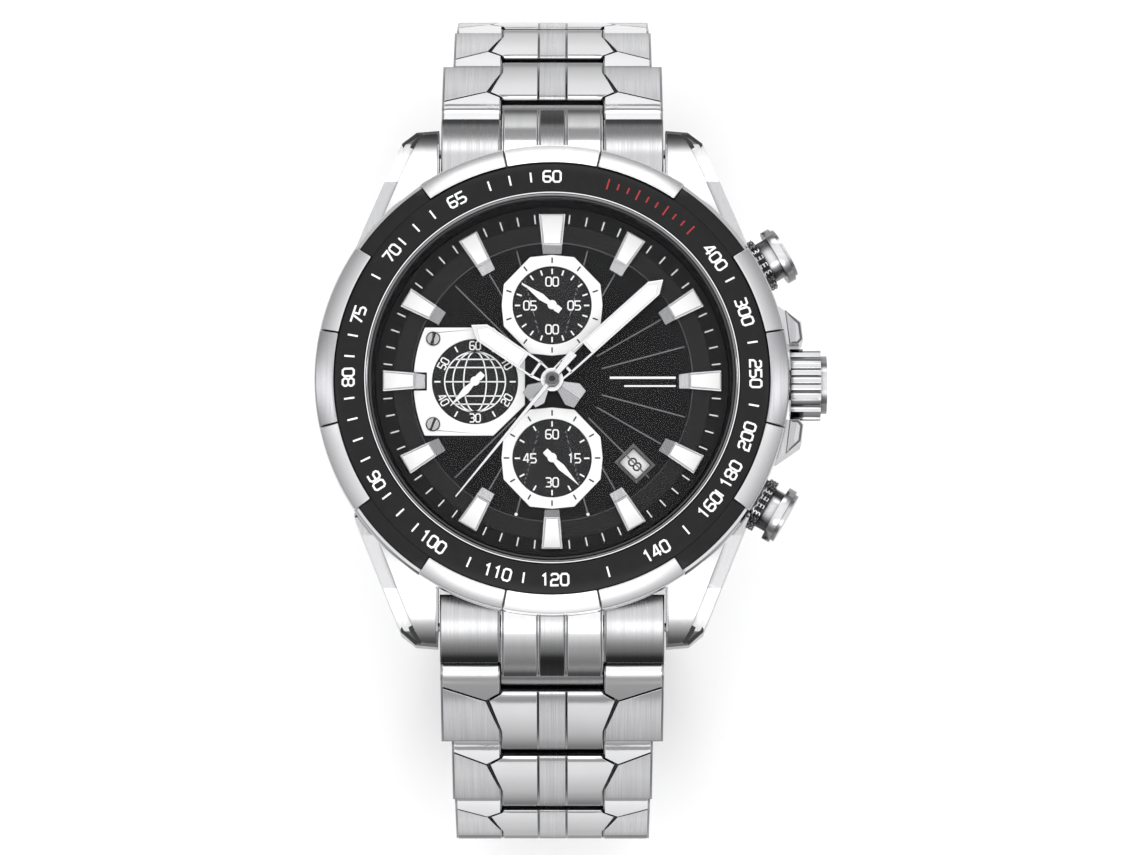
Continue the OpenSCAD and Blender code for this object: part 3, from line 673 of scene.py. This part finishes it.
def make_markers():
    frames, lume, steps = Shape(), Shape(), Shape()
    for hour in range(12):
        outer, inner = (1.315, 0.915) if hour == 0 else (1.05, 0.72)
        rim, low, top = 0.24, DIAL_Z, DIAL_Z + 0.72
        mid = inner + (outer - inner) * 0.24
        turn = clock(30 * hour)
        body = Shape().prism([(-outer, MARKER_TO), (-mid, MARKER_FROM), (mid, MARKER_FROM),
                              (outer, MARKER_TO)], low, top)
        frames.add(body, turn)
        inset = Shape().prism([(-outer + rim, 16.3), (-mid + rim, 13.5), (mid - rim, 13.5),
                               (outer - rim, 16.3)], low, top + 0.05)
        lume.add(inset, turn)
        end = Shape()
        stop = 12.52 if hour % 6 == 0 else 12.3
        end.verts = [(-mid, MARKER_FROM, low), (mid, MARKER_FROM, low), (inner, stop, low),
                     (-inner, stop, low), (-mid, MARKER_FROM, top), (mid, MARKER_FROM, top),
                     (inner, stop, low + 0.2), (-inner, stop, low + 0.2)]
        end.faces = [(0, 1, 2, 3), (4, 7, 6, 5), (0, 4, 5, 1), (1, 5, 6, 2), (2, 6, 7, 3),
                     (3, 7, 4, 0)]
        steps.add(end, turn)
    build("marker_frames", frames, FRAME_STEEL, "case", ("hour_markers",), 0.1)
    build("marker_lume", lume, LUME, "case", ("hour_markers",), 0.04)
    # The sloped ends of the markers take painted shade.
    build("marker_ends", steps, FACET_PAINTED_SHADE, "case", ("hour_markers",), 0.05)


def counter_face(name, x, y, radius, white, ring_ticks):
    lip = DIAL_Z + 0.03
    rings = [(0.0, DIAL_Z), (0.0, lip)]
    count = 12
    for k in range(count):
        start = radius * (k + 0.2) / count
        rings += [(start, lip), (start + radius * 0.35 / count, lip + 0.02),
                  (start + radius * 0.7 / count, lip)]
    rings += [(radius, lip), (radius, DIAL_Z)]
    face = Shape().add(Shape().lathe(rings, steps=96), Matrix.Translation((x, y, 0)))
    build(name + "_face", face, COUNTER_BLACK, "case", smooth=40)
    build(name + "_print", Shape().add(white, Matrix.Translation((x, y, DIAL_Z + 0.04))),
          PRINT_WHITE, "case")
    if ring_ticks:
        black = Shape()
        for k in range(ring_ticks):
            tick = Shape().strip([(0, 4.15), (0, 4.68)], 0.15, RING_TOP, RING_TOP + 0.02)
            black.add(tick, clock(360 / ring_ticks * k))
        build(name + "_ring_ticks", Shape().add(black, Matrix.Translation((x, y, 0))),
              PRINT_BLACK, "case")


def make_counters():
    layouts = {"upper_counter": (COUNTER_Y, ["00", "05", "00", "05"], 20, 10),
               "lower_counter": (-COUNTER_Y, ["60", "15", "30", "45"], 12, 12)}
    for name, (y, texts, ticks, ring_ticks) in layouts.items():
        white = Shape()
        for k, text in enumerate(texts):
            a = math.radians(90 * k)
            reach = 2.35 if k % 2 == 0 else 2.15
            white.add(number(text, 0.86, 0.52, 0.13, 0.02),
                      Matrix.Translation((reach * math.sin(a), reach * math.cos(a), 0)))
        for k in range(ticks):
            long_tick = Shape().strip([(0, 3.1), (0, 3.62)], 0.15, 0, 0.02)
            white.add(long_tick, clock(360 / ticks * k))
        counter_face(name, 0, y, 3.84, white, ring_ticks)
    white = Shape()
    for k, text in enumerate(["60", "10", "20", "30", "40", "50"]):
        a = math.radians(60 * k)
        turn = Matrix.Rotation(-math.radians([0, 60, -60, 0, 60, -60][k]), 4, "Z")
        white.add(number(text, 0.78, 0.44, 0.12, 0.02),
                  Matrix.Translation((3.55 * math.sin(a), 3.55 * math.cos(a), 0)) @ turn)
        white.add(Shape().strip([(0, 3.36), (0, 3.95)], 0.15, 0, 0.02), clock(60 * k + 30))
    globe_r, line = 2.95, 0.13
    white.strip(disc_points(globe_r, 64), line, 0, 0.02, True)
    for half in (1.1, 2.15):
        ellipse = [(half * math.cos(2 * math.pi * k / 48), globe_r * math.sin(2 * math.pi * k / 48))
                   for k in range(48)]
        white.strip(ellipse, line, 0, 0.02, True)
    for height in (-2.2, -1.4, 0, 1.4, 2.2):
        chord = math.sqrt(globe_r ** 2 - height ** 2)
        white.strip([(-chord, height), (chord, height)], line, 0, 0.02)
    counter_face("small_seconds", -SECONDS_X, 0, 4.18, white, 0)


def make_screw_slots():
    low, high = (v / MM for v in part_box("plate_screws"))
    radius = (high.x - low.x) / 2
    # The slots and their rings are flat dark strips: painted shade standing in for the recesses.
    slots = Shape()
    for side in (-1, 1):
        turn = Matrix.Translation(((low.x + high.x) / 2, side * (high.y - radius), high.z - HEAD_Z))
        bar = Shape().strip([(-radius * 0.3, -radius * 0.85), (radius * 0.3, radius * 0.85)], 0.2,
                            -0.02, 0.02)
        slots.add(bar, turn)
        slots.add(Shape().strip(disc_points(radius - 0.03, 32), 0.08, -0.02, 0.015, True), turn)
    build("plate_screw_slots", slots, PAINTED_GAP_SHADE, "case")


def make_date():
    eight = number("8", 1.25, 0.75, 0.16, 0.02)
    wheel_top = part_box("date_wheel")[1].z / MM - HEAD_Z
    place = clock(DATE_ANGLE) @ Matrix.Translation((0, DATE_R, wheel_top))
    turn = Matrix.Rotation(math.pi, 4, "Z")
    build("date_number", Shape().add(eight, place @ turn), PRINT_BLACK, "date_wheel")
    bezel = Shape()
    outer_x, outer_y, inner_x, inner_y = 1.3, 1.5, 0.99, 1.18
    low, high = DIAL_Z - 0.02, DIAL_Z + 0.16
    ring = [(-outer_x, -outer_y), (outer_x, -outer_y), (outer_x, outer_y), (-outer_x, outer_y)]
    hole = [(-inner_x, -inner_y), (inner_x, -inner_y), (inner_x, inner_y), (-inner_x, inner_y)]
    bezel.verts = ([(x, y, low) for x, y in ring] + [(x, y, high) for x, y in ring]
                   + [(x, y, low) for x, y in hole])
    for i in range(4):
        j = (i + 1) % 4
        bezel.faces += [(i, j, 4 + j, 4 + i), (4 + i, 4 + j, 8 + j, 8 + i), (i, 8 + i, 8 + j, j)]
    build("date_bevel", Shape().add(bezel, clock(DATE_ANGLE) @ Matrix.Translation((0, DATE_R, 0))),
          GROOVE, "case", ("date_window_frame",), 0.03)


# ------------------------------------------------------------------ hands
def baton(name, angle, length, half, win_from, win_to, tail, tail_half, low):
    """A polished hand with a lume blade, an open window near the hub and a flared tail."""
    high = low + 0.2
    steel, lume, tails = Shape(), Shape(), []
    steel.prism([(-half, win_to), (half, win_to), (half, length - 1.3), (0, length),
                 (-half, length - 1.3)], low, high)
    for side in (-1, 1):
        rail = [(side * 0.52, 0.7), (side * 0.78, 0.9), (side * half, win_from),
                (side * half, win_to + 0.1), (side * (half - 0.24), win_to + 0.1),
                (side * (half - 0.24), win_from)]
        steel.prism(rail[::side], low, high)
        tails.append(tail_facet(side, tail, tail_half, low))
    steel.prism([(-half, win_from - 0.3), (half, win_from - 0.3), (half, win_from),
                 (-half, win_from)], low, high)
    steel.prism(disc_points(1.12, 40), low, high + 0.02)
    edge = 0.26
    lume.prism([(-half + edge, win_to + 0.35), (half - edge, win_to + 0.35),
                (half - edge, length - 1.55), (0, length - 0.75), (-half + edge, length - 1.55)],
               high - 0.05, high + 0.04)
    turn = clock(angle)
    # The two halves of a tail are one steel: painted shade on one half, painted light on the other.
    for facet, look, word in zip(tails, (FACET_PAINTED_SHADE, FACET_PAINTED_LIT), ("shade", "light")):
        build(name + "_tail_" + word, Shape().add(facet, turn), look, name, (name,),
              0.03)
    build(name + "_frame", Shape().add(steel, turn), POLISHED, name, (name,), 0.06)
    build(name + "_lume", Shape().add(lume, turn), LUME, name, (name,), 0.03)
    bore, wall = (0.72, 0.88) if name.startswith("hour") else (0.48, 0.64)
    pipe = Shape().lathe([(bore, STEM_LOW), (bore, low + 0.1), (wall, low + 0.1),
                          (wall, STEM_LOW)], steps=40)
    build(name + "_pipe", pipe, INNER, name, (name,))


def tail_facet(side, tail, half, low):
    """Half of a hand's flared tail, sloping down from its middle ridge."""
    facet = Shape()
    rim = [(0, -0.7), (side * 0.5, -0.9), (side * half, -tail + 0.9), (side * half * 0.8, -tail),
           (0, -tail)]
    heights = [0.24, 0.12, 0.08, 0.08, 0.22]
    facet.verts = [(x, y, low) for x, y in rim]
    facet.verts += [(x, y, low + high) for (x, y), high in zip(rim, heights)]
    facet.faces = [(0, 1, 2, 3, 4), (5, 6, 7, 8, 9)]
    facet.faces += [(i, (i + 1) % 5, 5 + (i + 1) % 5, 5 + i) for i in range(5)]
    return facet


def slim_hand(name, angle, length, tail, x, y):
    """A small leaf-shaped hand with a raised centre line."""
    low = DIAL_Z + 0.4
    stations = [(-tail, 0.3, 0.1), (-tail * 0.5, 0.34, 0.14), (0, 0.16, 0.12), (0.7, 0.26, 0.14),
                (1.3, 0.34, 0.17), (length - 1.0, 0.14, 0.12), (length, 0.02, 0.06)]
    blade = Shape()
    for along, half, high in stations:
        blade.verts += [(-half, along, low), (half, along, low), (half, along, low + 0.05),
                        (0, along, low + high), (-half, along, low + 0.05)]
    for k in range(len(stations) - 1):
        for i in range(5):
            j = (i + 1) % 5
            blade.faces.append((5 * k + i, 5 * k + j, 5 * k + 5 + j, 5 * k + 5 + i))
    blade.faces += [(0, 1, 2, 3, 4), tuple(5 * (len(stations) - 1) + i for i in range(5))]
    blade.lathe([(0.0, low), (0.45, low), (0.45, low + 0.2), (0.3, low + 0.27), (0.0, low + 0.27)],
                steps=40)
    blade.lathe([(0.0, STEM_LOW), (0.25, STEM_LOW), (0.25, low + 0.1), (0.0, low + 0.1)],
                steps=24)
    body = name + "_hand"
    build(name + "_blade", Shape().add(blade, clock(angle, x, y)), WHITE, body,
          (body,))


def make_hands():
    baton("hour_hand", HOUR_ANGLE, 9.55, 0.95, 2.05, 3.3, 3.3, 1.25, DIAL_Z + 1.02)
    baton("minute_hand", MINUTE_ANGLE, 14.6, 0.85, 2.0, 4.6, 3.0, 1.2, DIAL_Z + 1.47)
    low = DIAL_Z + 1.92
    needle = Shape().prism([(-0.2, 0), (0.2, 0), (0.07, 14.8), (-0.07, 14.8)], low, low + 0.12)
    needle.prism([(-0.42, -3.3), (0.42, -3.3), (0.2, 0), (-0.2, 0)], low, low + 0.12)
    needle.lathe([(0.3, low), (0.72, low), (0.72, low + 0.2), (0.6, low + 0.28), (0.3, low + 0.28)],
                 steps=48)
    build("chrono_needle", Shape().add(needle, clock(CHRONO_ANGLE)), POLISHED,
          "chrono_seconds_hand", ("chrono_seconds_hand",), 0.03)
    pin = Shape().lathe([(0.0, STEM_LOW), (0.28, STEM_LOW), (0.28, low + 0.2), (0.0, low + 0.2)],
                        steps=32)
    build("chrono_pin", pin, PAINTED_GAP_SHADE, "chrono_seconds_hand",
          ("chrono_seconds_hand",))
    slim_hand("small_seconds", 224.6, 3.42, 1.07, -SECONDS_X, 0)
    slim_hand("upper_counter", 306.3, 3.68, 1.0, 0, COUNTER_Y)
    slim_hand("lower_counter", 135.9, 3.68, 0.96, 0, -COUNTER_Y)


# ------------------------------------------------------------------ knurled collars
def ring_points(x, radii):
    """Points round the X axis, taking the radii in turn."""
    turns = [2 * math.pi * k / len(radii) for k in range(len(radii))]
    return [(x, r * math.cos(a), r * math.sin(a)) for r, a in zip(radii, turns)]


def make_knurls():
    around, rows = 36, 5
    inner, valley, peak = 2.5, 2.56, 2.72
    start, length = 23.08, 0.84
    for name, side in (("upper_collar_knurl", 1), ("lower_collar_knurl", -1)):
        knurl = Shape()
        for row in range(rows + 1):
            radii = [peak if (row + k) % 2 == 0 else valley for k in range(around)]
            knurl.verts += ring_points(start + length * row / rows, radii)
        for end in (rows, 0):
            knurl.verts += ring_points(start + length * end / rows, [inner] * around)
        total = rows + 3
        for row in range(total):
            here, there = row * around, ((row + 1) % total) * around
            for k in range(around):
                j = (k + 1) % around
                knurl.faces.append((here + k, here + j, there + j, there + k))
        low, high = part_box("upper_pusher")
        axis_z = (low.z + high.z) / 2 / MM - HEAD_Z
        turn = Matrix.Translation((0, 0, axis_z)) @ Matrix.Rotation(side * math.pi / 6, 4, "Z")
        build(name, Shape().add(knurl, turn), CROWN_STEEL, "case")


# ------------------------------------------------------------------ bracelet
def hinge_points():
    """The pins of the upper side, from the end link to the clasp, as (y, z) in millimetres."""
    names = ["bracelet_12_unfold"] + ["link_12_%d_bend" % n for n in range(2, 7)]
    names.append("clasp_blade_swing")
    at = {joint["name"]: joint for joint in frame["joints"]}
    return [(at[name]["pos_m"][1] / MM, at[name]["pos_m"][2] / MM) for name in names]


def quilt(shape, us, v_low, v_high, point, under, steps=8):
    """A closed plate: a grid of points over u and v, with its sides taken down to under."""
    first = len(shape.verts)
    wide = steps + 1
    for u in us:
        for k in range(wide):
            v = v_low(u) + (v_high(u) - v_low(u)) * k / steps
            shape.verts.append(point(u, v))
    count = len(us) * wide
    shape.verts += [(x, s, under(s)) for x, s, _ in shape.verts[first:first + count]]
    for i in range(len(us) - 1):
        for k in range(steps):
            a = first + i * wide + k
            shape.faces.append((a, a + 1, a + wide + 1, a + wide))
            shape.faces.append(tuple(count + q for q in (a, a + wide, a + wide + 1, a + 1)))
    edge = [i * wide for i in range(len(us))]
    edge += [(len(us) - 1) * wide + k for k in range(1, wide)]
    edge += [i * wide + steps for i in reversed(range(len(us) - 1))]
    edge += [k for k in reversed(range(1, steps))]
    for i, here in enumerate(edge):
        there = edge[(i + 1) % len(edge)]
        shape.faces.append((first + here, first + there, first + count + there,
                            first + count + here))


def blend_between(points):
    """A function through the given (place, value) pairs, straight between them."""
    def rule(at):
        for (a, va), (b, vb) in zip(points, points[1:]):
            if at <= b:
                return va + (vb - va) * max(at - a, 0) / (b - a)
        return points[-1][1]
    return rule


LINK_TOP = 1.6
PITCH = 9.2
SKIN = 0.03
RISE = 0.34
INNER_X, CORNER_X = 5.22, 6.5
wing_edge = blend_between([(1.5, 4.8), (1.8, 5.05), (2.5, 6.1), (6.9, 4.93), (10.8, 4.85)])
wing_rise = blend_between([(1.5, 0.0), (1.75, 0.2), (2.5, 0.33), (4.5, 0.36), (6.5, 0.26),
                           (8.0, 0.1), (8.6, 0.0), (11, 0.0)])
side_rise = blend_between([(-1.6, 0.0), (0.0, 0.0), (0.3, 0.1), (2.4, RISE), (3.0, RISE),
                           (5.5, 0.22), (7.6, 0.03), (9, 0.0)])


def link_top(s):
    """Height of a link's outer face, round at the knuckle before 0 and after the pitch."""
    past = max(-s, s - PITCH, 0)
    return math.sqrt(max(LINK_TOP ** 2 - past ** 2, 0.01))


def link_under(s):
    return link_top(s) - 0.12


def side_plates(polished, brushed, half, hand):
    """One side piece: a polished facet, a crease, and a brushed facet that falls away."""
    outer = half - 0.22
    crease = blend_between([(INNER_X, 1.5), (CORNER_X, 2.4), (outer, 0.7)])
    brush_low = blend_between([(INNER_X, 6.9), (CORNER_X, 2.65), (outer, 0.95)])
    us = [INNER_X + (outer - INNER_X) * k / 12 for k in range(13)]
    us.append(CORNER_X)
    us.sort()

    def near(x, s):
        return (hand * x, s, link_top(s) + SKIN + side_rise(s))

    def far(x, s):
        return (hand * x, s, link_top(s) + SKIN + side_rise(s) * 0.94)

    quilt(polished, us, lambda x: -1.5, crease, near, link_under, 16)
    quilt(brushed, us, brush_low, lambda x: 8.45, far, link_under, 10)


def make_rows():
    pins = hinge_points()
    stations = [1.52, 1.62, 1.75, 2.1, 2.5, 3.2, 4.0, 5.0, 6.0, 7.0, 7.6, 8.2, 8.6, 9.0, 9.3, 9.6,
                9.9, 10.2, 10.45, 10.62]
    for n in range(1, 7):
        (y0, z0), (y1, z1) = pins[n - 1], pins[n]
        along = Vector((0, y1 - y0, z1 - z0)).normalized()
        out = Vector((0, -along.z, along.y))
        for side_name, flip in (("12", 1), ("6", -1)):
            node = "link_%s_%d" % (side_name, n)
            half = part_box(node)[1].x / MM
            basis = Matrix(((1, 0, 0, 0), (0, flip * along.y, flip * out.y, flip * y0),
                            (0, along.z, out.z, z0), (0, 0, 0, 1)))
            polished, brushed = Shape(), Shape()
            for hand in (-1, 1):
                side_plates(polished, brushed, half, hand)
                quilt(polished, stations, lambda s: 1.5, wing_edge,
                      lambda s, x, h=hand: (h * x, s, link_top(s) + SKIN + wing_rise(s)),
                      link_under, 4)
            quilt(brushed, stations, lambda s: -1.3, lambda s: 1.3,
                  lambda s, x: (x, s, link_top(s) + SKIN + wing_rise(s) * 0.8), link_under, 2)
            build(node + "_polished", Shape().add(polished, basis), ROW_POLISHED[flip], node,
                  bevel=0.06, smooth=35, low=0)
            build(node + "_brushed", Shape().add(brushed, basis), ROW_BRUSHED[flip], node,
                  bevel=0.06, smooth=35, low=0)


# ------------------------------------------------------------------ lugs
LUG_PROFILE = blend_between([(9, -3.3), (15, -3.5), (20, -4.9), (24, -6.5), (25.5, -7.4)])
LUG_IN, LUG_START = 11.3, 22.35
lug_end = blend_between([(11.3, 25.15), (12.7, 25.05), (13.45, 23.75), (17.7, 13.3)])
LUG_EDGE = [(12.75, 25.1), (13.62, 23.85), (18.1, 12.9)]
LUG_RIM = [(13.2, 25.15), (14.55, 24.0), (18.98, 13.1)]


def make_lugs():
    """A crowned polished top on each lug, with painted reflection that is brightest mid-reach and darker near the
    bezel and at the tip, and a dark strip of painted shade as the groove between it and the outer strip.
    """
    xs = [LUG_IN + 0.37 * k for k in range(17)]

    def top(x, y):
        rise = 3.6 * (max(y - 15, 0) / 10.4) ** 1.9
        return (x, y, max(-3.6 - rise, LUG_PROFILE(y) + 0.05))

    for name, flip in (("12", 1), ("6", -1)):
        skin, groove = Shape(), Shape()
        for hand in (-1, 1):
            one = Shape()
            quilt(one, xs, lambda x: math.sqrt(LUG_START ** 2 - x ** 2),
                  lambda x: max(lug_end(x), math.sqrt(LUG_START ** 2 - x ** 2) + 0.05), top,
                  lambda y: LUG_PROFILE(y) - 0.1, 14)
            line = Shape().strip(LUG_EDGE, 0.46, 0, 0.03)
            line.strip(LUG_RIM, 0.26, 0, 0.03)
            line.warp(lambda x, y, z: (x, y, z + LUG_PROFILE(y) + 0.01))
            turn = Matrix.Diagonal((hand, flip, 1, 1))
            skin.add(one, turn)
            groove.add(line, turn)
        build("lug_tops_" + name, skin, LUG_POLISHED, "case", bevel=0.08, smooth=30)
        build("lug_grooves_" + name, groove, PAINTED_GAP_SHADE, "case")


GUARD_TOP = [(22.75, 6.9), (24.0, 5.75), (24.2, 4.25), (23.85, 3.85), (23.15, 3.85)]


def make_guards():
    """A facet on each crown guard that slopes away from the bezel, in steel toned as painted shade, inside a dark
    edge strip of painted shade.
    """
    facets, edges = Shape(), Shape()
    for hand in (-1, 1):
        outline = [(x, hand * y) for x, y in GUARD_TOP][::hand]
        facets.prism(outline, -3.45, -3.36)
        edges.strip(outline, 0.2, -3.45, -3.37, True)
    facets.warp(lambda x, y, z: (x, y, z - 0.1 * max(x - 23.4, 0)))
    build("crown_guard_facets", facets, FACET_PAINTED_SHADE, "case", smooth=30)
    build("crown_guard_edges", edges, EDGE_SHADE_STEEL, "case")


END_Y0, END_Y1, END_Z, END_BEND = 21.6, 28.3, -5.8, 0.1


def end_slab(shape, x0, x1, y0, y1, rise):
    """A bar of the end link, between x0 and x1, under its curved top."""
    steps = 14
    top = []
    for k in range(steps + 1):
        y = y0 + (y1 - y0) * k / steps
        top.append((y, END_Z - END_BEND * (y - END_Y0) ** 2 + rise))
    outline = top + [(y - 0.1, z - 1.3) for y, z in reversed(top)]
    first = len(shape.verts)
    count = len(outline)
    shape.verts += [(x0, y, z) for y, z in outline] + [(x1, y, z) for y, z in outline]
    shape.faces.append(tuple(first + i for i in range(count)))
    shape.faces.append(tuple(first + count + i for i in reversed(range(count))))
    for i in range(count):
        j = (i + 1) % count
        shape.faces.append((first + i, first + j, first + count + j, first + count + i))


def make_end_links():
    for side_name, flip in (("12", 1), ("6", -1)):
        brushed, polished = Shape(), Shape()
        end_slab(brushed, -1.2, 1.2, 22.1, END_Y1, 0.1)
        for hand in (-1, 1):
            near = 20.6
            x0, x1 = sorted((hand * 5.2, hand * 10.85))
            end_slab(brushed, x0, x1, near, 26.9, 0.08)
            x0, x1 = sorted((hand * 1.52, hand * 4.72))
            end_slab(polished, x0, x1, 21.7, END_Y1, 0.12)
            for x in (1.27, 4.82):
                x0, x1 = sorted((hand * x, hand * (x + 0.14)))
                end_slab(polished, x0, x1, 21.9, END_Y1 - 0.1, 0.04)
        mirror = Matrix.Diagonal((1, flip, 1, 1))
        build("end_link_%s_brushed" % side_name, Shape().add(brushed, mirror), END_BRUSHED, "case",
              bevel=0.1, smooth=30)
        build("end_link_%s_polished" % side_name, Shape().add(polished, mirror), END_POLISHED, "case",
              bevel=0.05, smooth=30)


make_bezel()
make_insert_print()
make_dial()
make_markers()
make_counters()
make_screw_slots()
make_date()
make_hands()
make_knurls()
make_rows()
make_lugs()
make_guards()
make_end_links()
